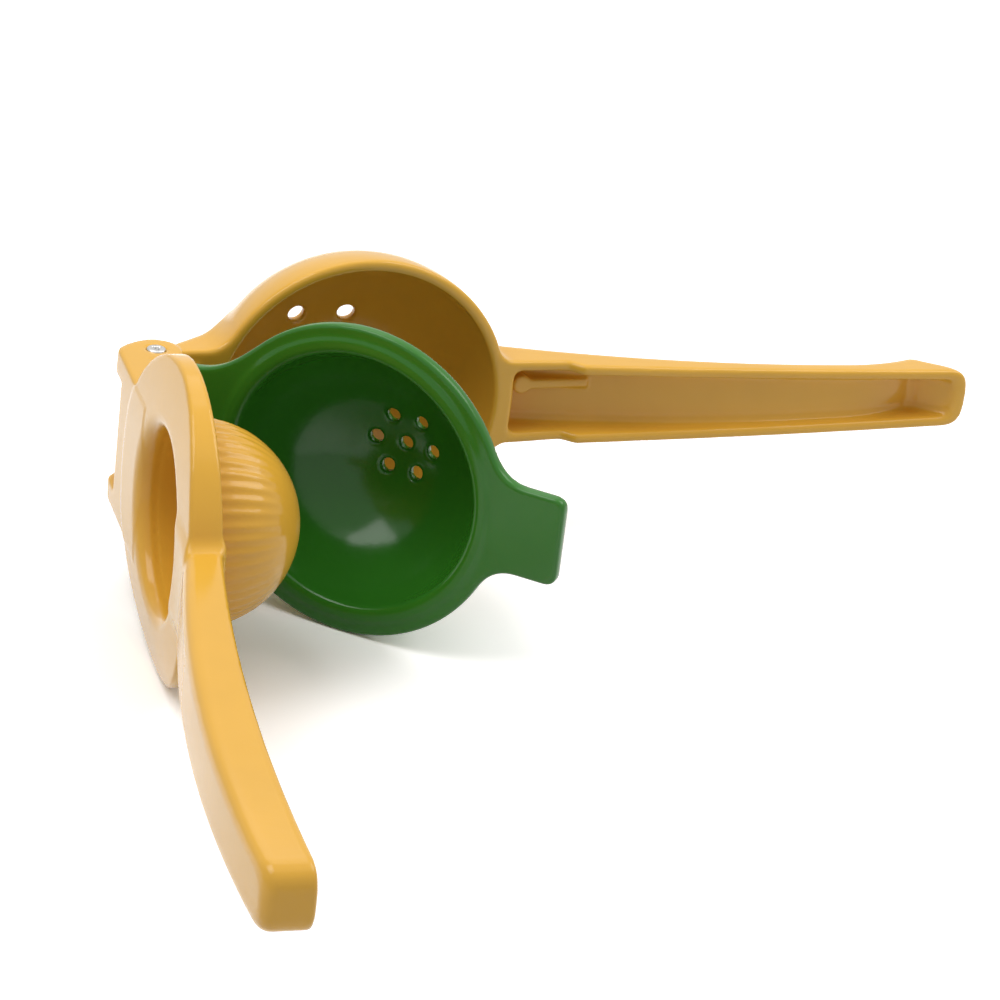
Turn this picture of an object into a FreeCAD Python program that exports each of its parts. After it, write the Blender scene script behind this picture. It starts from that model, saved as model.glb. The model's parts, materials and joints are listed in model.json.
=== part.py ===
import FreeCAD, Part
import math
import os
import Sketcher

# Hinged two-size citrus squeezer, millimetres.
# Three enamelled castings turn on one steel pin: a bowl lever, a cup lever and a press lever.
# Each casting is drawn in its own lever frame, as it lies with the tool shut:
# X runs from the pin along the lever, Z runs along the pin, and Y points out of the bowl's back,
# so the mouths of the bowl and the cup, and the press lever, are on the low side of Y.
# The placements at the end turn the levers open on the pin and lay the tool down on a table.

os.makedirs("parts", exist_ok=True)
doc = FreeCAD.newDocument("hinged_squeezer")
Vector = FreeCAD.Vector

# Driving sizes
SIZES = [
    ("centre_reach", 53.2, "pin axis to the centre of the bowl, the cup and the dome"),
    ("pin_radius", 2.3, "steel pin"),
    ("pin_play", 0.05, "running clearance of the pin in the bowl's and the cup's knuckles"),
    ("pin_stand", 0.25, "how far the rolled pin ends stand out of the ears"),
    ("pin_rolled_edge", 0.5, "rounding of the rolled pin end"),
    ("recess_radius", 0.55, "each lobe of the three-lobed recess in the pin's ends"),
    ("recess_ring", 0.62, "distance of each lobe from the pin's axis"),
    ("recess_depth", 0.8, "depth of the recess"),
    ("knuckle_radius", 6.3, "all hinge knuckles, and the round side of the ears"),
    ("ear_top", 19.3, "half height of the hinge over the ears"),
    ("ear_gap", 13.6, "half the gap between the ears"),
    ("side_play", 0.3, "gap along the pin between neighbouring knuckles"),
    ("cup_knuckle", 6.6, "half height of the cup's knuckle"),
    ("swing_gap", 0.5, "gap round a knuckle that turns inside another casting"),
    ("cup_face", 0.9, "the cup's face behind the pin axis"),
    ("flange_thickness", 3.2, "cup flange and tab"),
    ("flange_inset", 0.1, "how much smaller the cup's flange is than the bowl's outside"),
    ("cup_inset", 4.4, "how much smaller the cup's mouth is than the bowl's"),
    ("cup_rise", 7.0, "how much shallower the cup is than the bowl"),
    ("cup_wall", 2.6, "wall of the cup"),
    ("cup_hole", 1.6, "radius of the cup's drain holes"),
    ("cup_hole_ring", 7.6, "ring of six holes round the middle one"),
    ("mouth_round", 1.4, "rounded lip of the cup's mouth"),
    ("tab_half", 10.8, "half width of the lifting tab"),
    ("tab_end", 106.8, "end of the tab"),
    ("tab_corner", 2.5, "corners of the tab"),
    ("tab_root", 4.5, "rounding where the tab meets the flange"),
    ("lug_half", 16.9, "half height of the cup's hinge lug"),
    ("lug_root", 7.0, "rounding where the lug meets the flange"),
    ("nest_gap", 0.4, "gap between the nested cup's flange and the bowl's rim"),
    ("bowl_radius", 35.6, "inside of the bowl"),
    ("bowl_depth", 36.0, "depth of the bowl below its rim"),
    ("bowl_wall", 2.8, "wall of the bowl"),
    ("bowl_hole", 2.1, "radius of the bowl's drain holes"),
    ("bowl_hole_ring", 13.1, "ring of six holes round the middle one"),
    ("arm_half", 16.4, "half height of the bowl's hinge arm"),
    ("arm_slope", 33.3, "slope of the arm's back, degrees"),
    ("arm_back", 6.6, "the arm's back beside the pin, behind the pin axis"),
    ("arm_inset", 24.0, "how far the arm reaches into the bowl's wall"),
    ("arm_round", 2.0, "rounded back edges of the arm"),
    ("neck_reach", 9.0, "how far the knuckles' necks reach into the arm and the lug"),
    ("ear_round_end", 35.0, "how far past the pin the ears stay round, degrees"),
    ("ear_curve", 12.0, "curve from there to the ears' outer side"),
    ("grip_root_half", 11.1, "half width of the handles at the bowl and the plate"),
    ("grip_end_half", 7.6, "half width of the handles at their tips"),
    ("grip_wall", 2.6, "side walls of the handle channels"),
    ("grip_floor", 3.0, "floor of the handle channels"),
    ("grip_back_round", 2.2, "rounded outer edges of the handles"),
    ("channel_corner", 2.0, "corners of the channels, seen along Y"),
    ("channel_gap", 0.9, "solid metal between the bowl's outside and the channel"),
    ("grip_sink", 9.0, "how far inside the bowl its handle starts"),
    ("bowl_grip_end", 216.0, "tip of the bowl lever"),
    ("step_start", 107.4, "where the seat for the tab ends"),
    ("step_run", 3.0, "length of the step"),
    ("step_height", 2.8, "how far the handle's edge steps up to the tab's face"),
    ("grip_rim_rise", 4.2, "how far the edge climbs from the step to the tip"),
    ("grip_rim_curve", 1600.0, "curve of the bowl handle's edge"),
    ("grip_low", 184.0, "where the bowl handle is thinnest"),
    ("grip_low_back", 4.5, "its back there, behind the pin axis"),
    ("grip_back_curve", 329.0, "long curve of the bowl handle's back"),
    ("heel_curve", 47.6, "curve of the heel at the handle's tip"),
    ("heel_reach", 203.2, "peak of the heel"),
    ("tip_back", 2.6, "height of the bowl handle's blunt end"),
    ("tip_floor", 1.2, "depth of the channel's floor behind the edge at the tip"),
    ("tip_corner", 4.5, "corners of the handles' tips, seen along Y"),
    ("pad_inset", 4.5, "round pad on the channel's floor, past the channel's start"),
    ("pad_side", 3.2, "the pad's place beside the middle"),
    ("pad_radius", 2.4, "the pad"),
    ("pad_face", 8.0, "face of the pad and its rib, behind the pin axis"),
    ("pad_length", 7.0, "length of the pad, down into the channel's floor"),
    ("rib_half", 1.25, "half width of the rib that runs from the pad"),
    ("rib_reach", 17.5, "length of the rib"),
    ("rib_end", 2.0, "depth of the rib where it runs into the floor"),
    ("plate_radius", 37.4, "round plate of the press lever"),
    ("press_face", 1.9, "inner face of the plate, before the pin axis"),
    ("spine", 9.4, "outer face of the plate along its middle, before the pin axis"),
    ("crown_flat", 11.0, "half width of the flat band along the plate's middle"),
    ("crown_radius", 110.0, "curve of the plate's outer face beside that band"),
    ("web_start", 7.0, "inner end of the gap between the ears"),
    ("dome_radius", 23.7, "fluted dome that presses the fruit"),
    ("dome_shift", 0.9, "how far the dome's middle is past the plate's"),
    ("dome_sink", 0.3, "the dome's centre before the pin axis"),
    ("dome_wall", 2.8, "wall of the dome"),
    ("dome_mouth_round", 3.0, "soft lip of the dome's hollow"),
    ("flute_count", 48.0, "flutes round the dome"),
    ("flute_radius", 1.1, "each flute's round section"),
    ("flute_depth", 0.45, "depth of the flutes at the dome's foot"),
    ("flute_fade", 42.0, "how far up the dome the flutes run, degrees"),
    ("flute_over", 3.0, "how far past that the cutting section still turns, degrees"),
    ("flute_foot", 4.0, "how far below the section's start the flutes run down, degrees"),
    ("press_tip", 218.0, "tip of the press lever"),
    ("press_grip_root_half", 10.2, "half width of the press handle at the plate"),
    ("press_grip_end_half", 7.3, "half width of the press handle at its tip"),
    ("press_rise_start", 68.0, "where the outer face starts to rise to the handle"),
    ("press_root_sink", 0.5, "how far under the plate's face that rise starts"),
    ("press_rise_end", 97.0, "where the rise runs into the handle"),
    ("press_root_out", 12.1, "outer side of the handle there"),
    ("press_tip_out", 20.9, "outer side of the handle at its tip"),
    ("press_tip_thick", 10.6, "thickness of the handle at its tip"),
    ("press_in_curve", 620.0, "curve of the handle's inner side"),
    ("edge_round", 0.8, "broken edges of the castings"),
    ("lap", 0.5, "how far forms that join are sunk into each other"),
    ("past", 2.0, "how far a cutting outline runs past the faces that it cuts"),
    ("trim", 10.0, "how far the outline that trims a handle runs past it"),
    ("tip_zone", 2.0, "length of the tips' outer faces in which edges count as the tip's"),
    ("bowl_turn", 0.0, "the bowl lever's place on the pin, degrees"),
    ("cup_turn", 44.9, "opening of the cup from the bowl, degrees"),
    ("press_turn", 93.8, "opening of the press from the bowl, degrees"),
]

sheet = doc.addObject("Spreadsheet::Sheet", "sizes")
for row, (alias, number, meaning) in enumerate(SIZES, start=1):
    sheet.set("A%d" % row, alias)
    sheet.set("B%d" % row, str(number))
    sheet.set("C%d" % row, meaning)
    sheet.setAlias("B%d" % row, alias)
doc.recompute()


class Size:
    """A number together with the sheet expression that gives it."""

    def __init__(self, value, text):
        self.value = value
        self.text = text

    def __add__(self, other):
        other = as_size(other)
        return Size(self.value + other.value, "(%s + %s)" % (self.text, other.text))

    def __sub__(self, other):
        other = as_size(other)
        return Size(self.value - other.value, "(%s - %s)" % (self.text, other.text))

    def __mul__(self, other):
        other = as_size(other)
        return Size(self.value * other.value, "(%s * %s)" % (self.text, other.text))

    def __truediv__(self, other):
        other = as_size(other)
        return Size(self.value / other.value, "(%s / %s)" % (self.text, other.text))

    def __neg__(self):
        return Size(-self.value, "(0 - %s)" % self.text)

    def root(self):
        return Size(math.sqrt(self.value), "sqrt(%s)" % self.text)

    def sine(self):
        return Size(math.sin(math.radians(self.value)), "sin(%s)" % self.text)

    def cosine(self):
        return Size(math.cos(math.radians(self.value)), "cos(%s)" % self.text)


def as_size(number):
    return number if isinstance(number, Size) else Size(float(number), str(number))


def leg(long_side, short_side):
    """The other short side of a right triangle."""
    return (long_side * long_side - short_side * short_side).root()


d = {alias: Size(number, "sizes." + alias) for alias, number, meaning in SIZES}
ZERO = as_size(0)

# Sizes that several castings share
bowl_outer = d["bowl_radius"] + d["bowl_wall"]
cup_mouth = d["bowl_radius"] - d["cup_inset"]
cup_depth = d["bowl_depth"] - d["cup_rise"]
flange_radius = bowl_outer - d["flange_inset"]
rim = d["cup_face"] + d["flange_thickness"] + d["nest_gap"]
knuckle_clear = d["knuckle_radius"] + d["swing_gap"]
bowl_knuckle_top = d["ear_gap"] - d["side_play"]
slot_half = d["cup_knuckle"] + d["side_play"]


def bind(thing, place, size):
    thing.setExpression(place, size.text)


def new_body(name):
    body = doc.addObject("PartDesign::Body", name)
    body.Label = name
    return body


def plane_of(body, role):
    return next(f for f in body.Origin.OriginFeatures if f.Role == role)


def new_sketch(body, name, role, lift=None, shift=None):
    """A sketch on one of the body's own planes, lifted off it and shifted along its X."""
    sketch = body.newObject("Sketcher::SketchObject", name)
    sketch.AttachmentSupport = [(plane_of(body, role), "")]
    sketch.MapMode = "FlatFace"
    lift = lift or ZERO
    shift = shift or ZERO
    sketch.AttachmentOffset = FreeCAD.Placement(Vector(shift.value, 0, lift.value), FreeCAD.Rotation())
    bind(sketch, "AttachmentOffset.Base.x", shift)
    bind(sketch, "AttachmentOffset.Base.z", lift)
    return sketch


def constrain(sketch, kind, where, size):
    index = sketch.addConstraint(Sketcher.Constraint(kind, *where, size.value))
    bind(sketch, "Constraints[%d]" % index, size)


def draw_circle(sketch, x, y, radius):
    x, y, radius = as_size(x), as_size(y), as_size(radius)
    circle = Part.Circle(Vector(x.value, y.value, 0), Vector(0, 0, 1), radius.value)
    index = sketch.addGeometry(circle, False)
    constrain(sketch, "Radius", (index,), radius)
    constrain(sketch, "DistanceX", (index, 3), x)
    constrain(sketch, "DistanceY", (index, 3), y)


def arc_through(start, end, radius):
    """The shorter arc from start to end; a negative radius puts its centre on the right."""
    if radius < 0:
        start, end = end, start
    chord = end - start
    left = Vector(-chord.y, chord.x, 0).normalize()
    reach = math.sqrt(max(radius * radius - chord.Length * chord.Length / 4, 0))
    centre = (start + end) * 0.5 + left * reach
    begin = math.atan2(start.y - centre.y, start.x - centre.x)
    finish = math.atan2(end.y - centre.y, end.x - centre.x)
    if finish < begin:
        finish += 2 * math.pi
    return Part.ArcOfCircle(Part.Circle(centre, Vector(0, 0, 1), abs(radius)), begin, finish)


def draw_outline(sketch, corners):
    """A closed outline. Each corner is (x, y), reached by a line, or (x, y, radius) by an arc."""
    corners = [tuple(as_size(v) for v in corner) for corner in corners]
    points = [Vector(c[0].value, c[1].value, 0) for c in corners]
    edges = []
    for number, corner in enumerate(corners):
        start, end = points[number - 1], points[number]
        if len(corner) == 3:
            edge = arc_through(start, end, corner[2].value)
        else:
            edge = Part.LineSegment(start, end)
        edges.append(sketch.addGeometry(edge, False))
    rules = []
    bound = []
    for number, corner in enumerate(corners):
        edge = edges[number]
        after = edges[(number + 1) % len(corners)]
        follower = corners[(number + 1) % len(corners)]
        point = 1 if len(corner) == 3 and corner[2].value < 0 else 2
        joint = 2 if len(follower) == 3 and follower[2].value < 0 else 1
        rules.append(Sketcher.Constraint("Coincident", edge, point, after, joint))
        for kind, size in (("DistanceX", corner[0]), ("DistanceY", corner[1])):
            bound.append((len(rules), size))
            rules.append(Sketcher.Constraint(kind, edge, point, size.value))
        if len(corner) == 3:
            size = corner[2] if corner[2].value > 0 else -corner[2]
            bound.append((len(rules), size))
            rules.append(Sketcher.Constraint("Radius", edge, size.value))
    first = sketch.ConstraintCount
    sketch.addConstraint(rules)
    for index, size in bound:
        bind(sketch, "Constraints[%d]" % (first + index), size)


def pad(body, sketch, name, length, symmetric=False, reverse=False):
    feature = body.newObject("PartDesign::Pad", name)
    feature.Profile = sketch
    feature.SideType = "Symmetric" if symmetric else "One side"
    feature.Reversed = reverse
    feature.Length = as_size(length).value
    bind(feature, "Length", as_size(length))
    return settle(body, feature, grows=True)


def pocket(body, sketch, name, length=None, symmetric=False, reverse=False):
    """Without a length, the pocket goes through all on both sides of its sketch."""
    feature = body.newObject("PartDesign::Pocket", name)
    feature.Profile = sketch
    feature.Reversed = reverse
    if length is None:
        feature.SideType = "Symmetric"
        feature.Type = "ThroughAll"
    else:
        feature.SideType = "Symmetric" if symmetric else "One side"
        feature.Length = as_size(length).value
        bind(feature, "Length", as_size(length))
    return settle(body, feature, grows=False)


def turned(body, sketch, name, kind, angles=None):
    """A Revolution or a Groove round the sketch's own Y axis, all round or by two angles from it."""
    feature = body.newObject("PartDesign::" + kind, name)
    feature.Profile = sketch
    feature.ReferenceAxis = (sketch, ["V_Axis"])
    if angles is None:
        feature.Angle = 360
    else:
        feature.Type = "TwoAngles"
        feature.Angle, feature.Angle2 = angles[0].value, angles[1].value
        bind(feature, "Angle", angles[0])
        bind(feature, "Angle2", angles[1])
    return settle(body, feature, grows=(kind == "Revolution"))


def ring_of(body, feature, sketch, name, count):
    pattern = body.newObject("PartDesign::PolarPattern", name)
    pattern.Originals = [feature]
    pattern.Axis = (sketch, ["N_Axis"])
    pattern.Angle = 360
    pattern.Occurrences = int(count.value)
    bind(pattern, "Occurrences", count)
    return settle(body, pattern, grows=None)


def round_edges(body, name, radius, chosen):
    """Round the edges of the body's last shape for which chosen(edge) is true."""
    base = body.Tip
    names = ["Edge%d" % (n + 1) for n, edge in enumerate(base.Shape.Edges) if chosen(edge)]
    if not names:
        raise RuntimeError("no edge found for " + name)
    feature = body.newObject("PartDesign::Fillet", name)
    feature.Base = (base, names)
    feature.Radius = radius.value
    bind(feature, "Radius", radius)
    return settle(body, feature, grows=None)


def settle(body, feature, grows):
    """Recompute, make the feature the body's tip, and see that it did what it should."""
    before = getattr(feature, "BaseFeature", None)
    before = before.Shape.Volume if before else 0.0
    body.Tip = feature
    doc.recompute()
    bad = [s for s in feature.State if s in ("Invalid", "Error")]
    if bad or feature.Shape.isNull() or not feature.Shape.isValid():
        raise RuntimeError("feature failed: " + feature.Name)
    change = feature.Shape.Volume - before
    if (grows is True and change <= 0) or (grows is False and before and change >= 0):
        raise RuntimeError("feature changed nothing: %s %.3f" % (feature.Name, change))
    return feature


def middle(edge):
    return edge.valueAt((edge.FirstParameter + edge.LastParameter) / 2)


def near(number, size, slack=0.05):
    return abs(number - size.value) < slack


def round_plan(sketch, start, end, half_at, corner_start, corner_end):
    """A tapered outline, seen along Y, from start to end with round corners."""
    draw_outline(sketch, [
        (start, -(half_at(start) - corner_start)),
        (start + corner_start, -half_at(start + corner_start), corner_start),
        (end - corner_end, -half_at(end - corner_end)),
        (end, -(half_at(end) - corner_end), corner_end),
        (end, half_at(end) - corner_end),
        (end - corner_end, half_at(end - corner_end), corner_end),
        (start + corner_start, half_at(start + corner_start)),
        (start, half_at(start) - corner_start, corner_start),
    ])


def make_grip(body, name, side, floor_side, half_at, root, end, channel_start, channel_end):
    """A tapered handle with a channel: side outline, channel cut through, floor, plan outline."""
    start = d["centre_reach"]
    blank = (half_at(start) + d["past"]) * 2
    sketch = new_sketch(body, name + "_side", "XY_Plane")
    draw_outline(sketch, side)
    pad(body, sketch, name + "_blank", blank, symmetric=True)
    sketch = new_sketch(body, name + "_channel_plan", "XZ_Plane")
    round_plan(sketch, channel_start, channel_end, lambda x: half_at(x) - d["grip_wall"],
               d["channel_corner"], d["channel_corner"])
    pocket(body, sketch, name + "_channel")
    sketch = new_sketch(body, name + "_floor_side", "XY_Plane")
    draw_outline(sketch, floor_side)
    pad(body, sketch, name + "_floor", blank, symmetric=True)
    sketch = new_sketch(body, name + "_plan", "XZ_Plane")
    wide = half_at(root) + d["trim"]
    draw_outline(sketch, [
        (start - d["trim"], -wide),
        (end + d["trim"], -wide),
        (end + d["trim"], wide),
        (start - d["trim"], wide),
    ])
    round_plan(sketch, start, end, half_at, d["channel_corner"], d["tip_corner"])
    pocket(body, sketch, name + "_trimmed")


def outside_edge(half_at, end, back_from):
    """Chooses the long outer edges of a handle where y has passed back_from(x) to the back."""
    def chosen(edge):
        point = middle(edge)
        along = edge.tangentAt((edge.FirstParameter + edge.LastParameter) / 2)
        outside = (abs(point.z) > half_at(point.x) - d["grip_wall"].value / 8
                   or point.x > end - d["tip_zone"].value)
        return outside and abs(along.y) < 0.9 and back_from(point.x, point.y)
    return chosen


# Bowl lever: the handle and its channel
bowl_lever = new_body("bowl_lever")
bowl_centre = rim + d["bowl_depth"] - d["bowl_radius"]
grip_root = d["centre_reach"] + d["bowl_radius"] + d["bowl_wall"] / 2
channel_root = d["centre_reach"] + bowl_outer + d["channel_gap"]


def bowl_half(x):
    """Half width of the bowl lever's handle at x."""
    slope = (d["grip_end_half"] - d["grip_root_half"]) / (d["bowl_grip_end"] - grip_root)
    return d["grip_root_half"] + slope * (x - grip_root)


def sag(curve, run):
    """How far a curve leaves its tangent over a run."""
    return curve - leg(curve, run)


root_run = d["grip_low"] - d["centre_reach"] - d["bowl_radius"] + d["grip_sink"]
back_root = (d["grip_low"] - root_run, d["grip_low_back"] + sag(d["grip_back_curve"], root_run))
back_low = (d["grip_low"], d["grip_low_back"])
heel_run = d["heel_reach"] - d["grip_low"]
heel = (d["heel_reach"], d["grip_low_back"] + sag(d["heel_curve"], heel_run))
step_face = rim - d["step_height"]
rim_end = step_face - d["grip_rim_rise"]
blunt = (d["bowl_grip_end"], rim_end + d["tip_back"])
floor_back_curve = d["grip_back_curve"] + d["grip_floor"]
floor_heel_curve = d["heel_curve"] + d["grip_floor"]
floor_low = d["grip_low_back"] - d["grip_floor"]
floor_heel = d["heel_reach"] - d["lap"]
floor_end = d["bowl_grip_end"] - d["grip_wall"] / 2
make_grip(
    bowl_lever, "bowl_grip",
    [
        (back_root[0], rim),
        (d["step_start"], rim),
        (d["step_start"] + d["step_run"], step_face),
        (d["bowl_grip_end"], rim_end, d["grip_rim_curve"]),
        blunt,
        heel,
        back_low + (-d["heel_curve"],),
        back_root + (-d["grip_back_curve"],),
    ],
    [
        blunt,
        heel,
        back_low + (-d["heel_curve"],),
        back_root + (-d["grip_back_curve"],),
        (back_root[0], floor_low + sag(floor_back_curve, root_run)),
        (d["grip_low"], floor_low, floor_back_curve),
        (floor_heel, floor_low + sag(floor_heel_curve, floor_heel - d["grip_low"]), floor_heel_curve),
        (floor_end, rim_end + d["tip_floor"]),
    ],
    bowl_half, grip_root, d["bowl_grip_end"],
    channel_root, d["bowl_grip_end"] - d["grip_wall"])


def rim_line(x):
    """Height of the bowl handle's edge at x."""
    if x < d["step_start"].value + d["step_run"].value:
        return rim.value
    part_way = (x - d["step_start"].value) / (d["bowl_grip_end"].value - d["step_start"].value)
    return step_face.value + (rim_end.value - step_face.value) * part_way


round_edges(bowl_lever, "bowl_grip_back_edges", d["grip_back_round"], outside_edge(
    lambda x: bowl_half(as_size(x)).value, d["bowl_grip_end"].value,
    lambda x, y: y > rim_line(x) + d["grip_floor"].value / 2 and x < d["heel_reach"].value))

# Bowl lever: the pad and its rib in the channel
pad_reach = channel_root + d["pad_inset"]
sketch = new_sketch(bowl_lever, "pad_plan", "XZ_Plane", -d["pad_face"])
draw_circle(sketch, pad_reach, d["pad_side"], d["pad_radius"])
pad(bowl_lever, sketch, "pad_on_floor", d["pad_length"], reverse=True)
sketch = new_sketch(bowl_lever, "rib_side", "XY_Plane", d["pad_side"])
draw_outline(sketch, [
    (pad_reach, d["pad_face"]),
    (pad_reach + d["rib_reach"], d["pad_face"]),
    (pad_reach + d["rib_reach"], d["pad_face"] + d["rib_end"]),
    (pad_reach, d["pad_face"] + d["pad_length"]),
])
pad(bowl_lever, sketch, "rib_on_floor", d["rib_half"] * 2, symmetric=True)

# Bowl lever: the hinge arm and its two knuckles
arm_rise = d["arm_slope"].sine() / d["arm_slope"].cosine()
sketch = new_sketch(bowl_lever, "arm_side", "XY_Plane")
draw_outline(sketch, [
    (0, rim),
    (d["arm_inset"], rim),
    (d["arm_inset"], d["arm_back"] + arm_rise * d["arm_inset"]),
    (0, d["arm_back"]),
])
pad(bowl_lever, sketch, "arm", d["arm_half"] * 2, symmetric=True)
sketch = new_sketch(bowl_lever, "arm_clear_round", "XY_Plane")
draw_circle(sketch, 0, 0, knuckle_clear)
pocket(bowl_lever, sketch, "arm_clear")
round_edges(bowl_lever, "arm_back_edges", d["arm_round"], lambda e: (
    near(abs(middle(e).z), d["arm_half"]) and middle(e).x > 0
    and middle(e).y > rim.value + d["arm_round"].value))
sketch = new_sketch(bowl_lever, "bowl_knuckle_round", "XY_Plane")
draw_circle(sketch, 0, 0, d["knuckle_radius"])
pad(bowl_lever, sketch, "bowl_knuckle", bowl_knuckle_top * 2, symmetric=True)
sketch = new_sketch(bowl_lever, "bowl_neck_side", "XY_Plane")
draw_outline(sketch, [
    (0, 0),
    (leg(d["knuckle_radius"], rim) - d["lap"], rim),
    (d["neck_reach"], rim),
    (d["neck_reach"], d["arm_back"] + arm_rise * d["neck_reach"] - d["lap"]),
    (0, d["knuckle_radius"] - d["lap"]),
])
pad(bowl_lever, sketch, "bowl_neck", bowl_knuckle_top * 2, symmetric=True)
sketch = new_sketch(bowl_lever, "cup_slot_round", "XY_Plane")
draw_circle(sketch, 0, 0, knuckle_clear)
pocket(bowl_lever, sketch, "cup_slot", slot_half * 2, symmetric=True)
sketch = new_sketch(bowl_lever, "bowl_bore_round", "XY_Plane")
draw_circle(sketch, 0, 0, d["pin_radius"] + d["pin_play"])
pocket(bowl_lever, sketch, "bowl_bore")

# Bowl lever: the bowl, its inside and its seven holes
sketch = new_sketch(bowl_lever, "bowl_outside", "XY_Plane", shift=d["centre_reach"])
draw_outline(sketch, [
    (0, rim),
    (bowl_outer, rim),
    (bowl_outer, bowl_centre),
    (0, bowl_centre + bowl_outer, bowl_outer),
])
turned(bowl_lever, sketch, "bowl_solid", "Revolution")
sketch = new_sketch(bowl_lever, "bowl_inside", "XY_Plane", shift=d["centre_reach"])
lip = d["edge_round"]
draw_outline(sketch, [
    (0, rim - d["past"]),
    (d["bowl_radius"] + lip, rim - d["past"]),
    (d["bowl_radius"] + lip, rim),
    (d["bowl_radius"], rim + lip, -lip),
    (d["bowl_radius"], bowl_centre),
    (0, bowl_centre + d["bowl_radius"], d["bowl_radius"]),
])
turned(bowl_lever, sketch, "bowl_hollow", "Groove")


def seven_holes(body, name, radius, ring):
    """A middle hole and a ring of six, along Y through the part under its centre."""
    sketch = new_sketch(body, name + "_middle_round", "XZ_Plane", shift=d["centre_reach"])
    draw_circle(sketch, 0, 0, radius)
    pocket(body, sketch, name + "_middle")
    sketch = new_sketch(body, name + "_ring_round", "XZ_Plane", shift=d["centre_reach"])
    draw_circle(sketch, ring, 0, radius)
    feature = pocket(body, sketch, name + "_ring_first")
    ring_of(body, feature, sketch, name + "_ring", as_size(6))


seven_holes(bowl_lever, "bowl_hole", d["bowl_hole"], d["bowl_hole_ring"])

# Cup lever: flange, tab and lug
lime_cup = new_body("lime_cup")
sketch = new_sketch(lime_cup, "flange_round", "XZ_Plane", -d["cup_face"], d["centre_reach"])
draw_circle(sketch, 0, 0, flange_radius)
pad(lime_cup, sketch, "flange", d["flange_thickness"], reverse=True)
sketch = new_sketch(lime_cup, "tab_plan", "XZ_Plane", -d["cup_face"])
round_plan(sketch, d["centre_reach"], d["tab_end"], lambda x: d["tab_half"],
           d["tab_corner"], d["tab_corner"])
pad(lime_cup, sketch, "tab", d["flange_thickness"], reverse=True)
sketch = new_sketch(lime_cup, "lug_plan", "XZ_Plane", -d["cup_face"])
draw_outline(sketch, [
    (knuckle_clear, -d["lug_half"]),
    (d["centre_reach"], -d["lug_half"]),
    (d["centre_reach"], d["lug_half"]),
    (knuckle_clear, d["lug_half"]),
])
pad(lime_cup, sketch, "lug", d["flange_thickness"], reverse=True)


def corner_at(reach, half):
    """Chooses the edges along Y at (reach, +half) and (reach, -half)."""
    def chosen(edge):
        point = middle(edge)
        along = edge.tangentAt(edge.FirstParameter)
        return abs(along.y) > 0.99 and near(point.x, reach) and near(abs(point.z), half)
    return chosen


tab_meets = d["centre_reach"] + leg(flange_radius, d["tab_half"])
lug_meets = d["centre_reach"] - leg(flange_radius, d["lug_half"])
round_edges(lime_cup, "tab_roots", d["tab_root"], corner_at(tab_meets, d["tab_half"]))
round_edges(lime_cup, "lug_roots", d["lug_root"], corner_at(lug_meets, d["lug_half"]))

round_edges(lime_cup, "flange_edges", d["edge_round"], lambda e: (
    (near(middle(e).y, d["cup_face"]) or near(middle(e).y, d["cup_face"] + d["flange_thickness"]))
    and middle(e).x > knuckle_clear.value + d["edge_round"].value))

# Cup lever: the cup
cup_ball = (cup_mouth * cup_mouth + cup_depth * cup_depth) / (cup_depth * 2)
cup_ball_outer = cup_ball + d["cup_wall"]
cup_centre = d["cup_face"] + cup_depth - cup_ball
sketch = new_sketch(lime_cup, "cup_outside", "XY_Plane", shift=d["centre_reach"])
draw_outline(sketch, [
    (0, d["cup_face"] + d["lap"]),
    (leg(cup_ball_outer, d["cup_face"] + d["lap"] - cup_centre), d["cup_face"] + d["lap"]),
    (0, cup_centre + cup_ball_outer, cup_ball_outer),
])
turned(lime_cup, sketch, "cup_solid", "Revolution")
sketch = new_sketch(lime_cup, "cup_inside", "XY_Plane", shift=d["centre_reach"])
lip = d["mouth_round"]
lip_drop = d["cup_face"] + lip - cup_centre
lip_reach = leg(cup_ball + lip, lip_drop)
lip_share = cup_ball / (cup_ball + lip)
draw_outline(sketch, [
    (0, d["cup_face"] - d["past"]),
    (lip_reach, d["cup_face"] - d["past"]),
    (lip_reach, d["cup_face"]),
    (lip_reach * lip_share, cup_centre + lip_drop * lip_share, -lip),
    (0, cup_centre + cup_ball, cup_ball),
])
turned(lime_cup, sketch, "cup_hollow", "Groove")
seven_holes(lime_cup, "cup_hole", d["cup_hole"], d["cup_hole_ring"])

# Cup lever: its knuckle
sketch = new_sketch(lime_cup, "cup_knuckle_round", "XY_Plane")
draw_circle(sketch, 0, 0, d["knuckle_radius"])
pad(lime_cup, sketch, "cup_knuckle", d["cup_knuckle"] * 2, symmetric=True)
sketch = new_sketch(lime_cup, "cup_neck_side", "XY_Plane")
draw_outline(sketch, [
    (0, d["cup_face"]),
    (d["neck_reach"], d["cup_face"]),
    (d["neck_reach"], d["cup_face"] + d["flange_thickness"]),
    (0, d["cup_face"] + d["flange_thickness"]),
])
pad(lime_cup, sketch, "cup_neck", d["cup_knuckle"] * 2, symmetric=True)
sketch = new_sketch(lime_cup, "cup_bore_round", "XY_Plane")
draw_circle(sketch, 0, 0, d["pin_radius"] + d["pin_play"])
pocket(lime_cup, sketch, "cup_bore")

# Press lever: the handle and its channel
press_lever = new_body("press_lever")
press_root = d["centre_reach"] + d["plate_radius"]


def press_half(x):
    """Half width of the press lever's handle at x."""
    slope = (d["press_grip_end_half"] - d["press_grip_root_half"]) / (d["press_tip"] - press_root)
    return d["press_grip_root_half"] + slope * (x - press_root)


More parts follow.
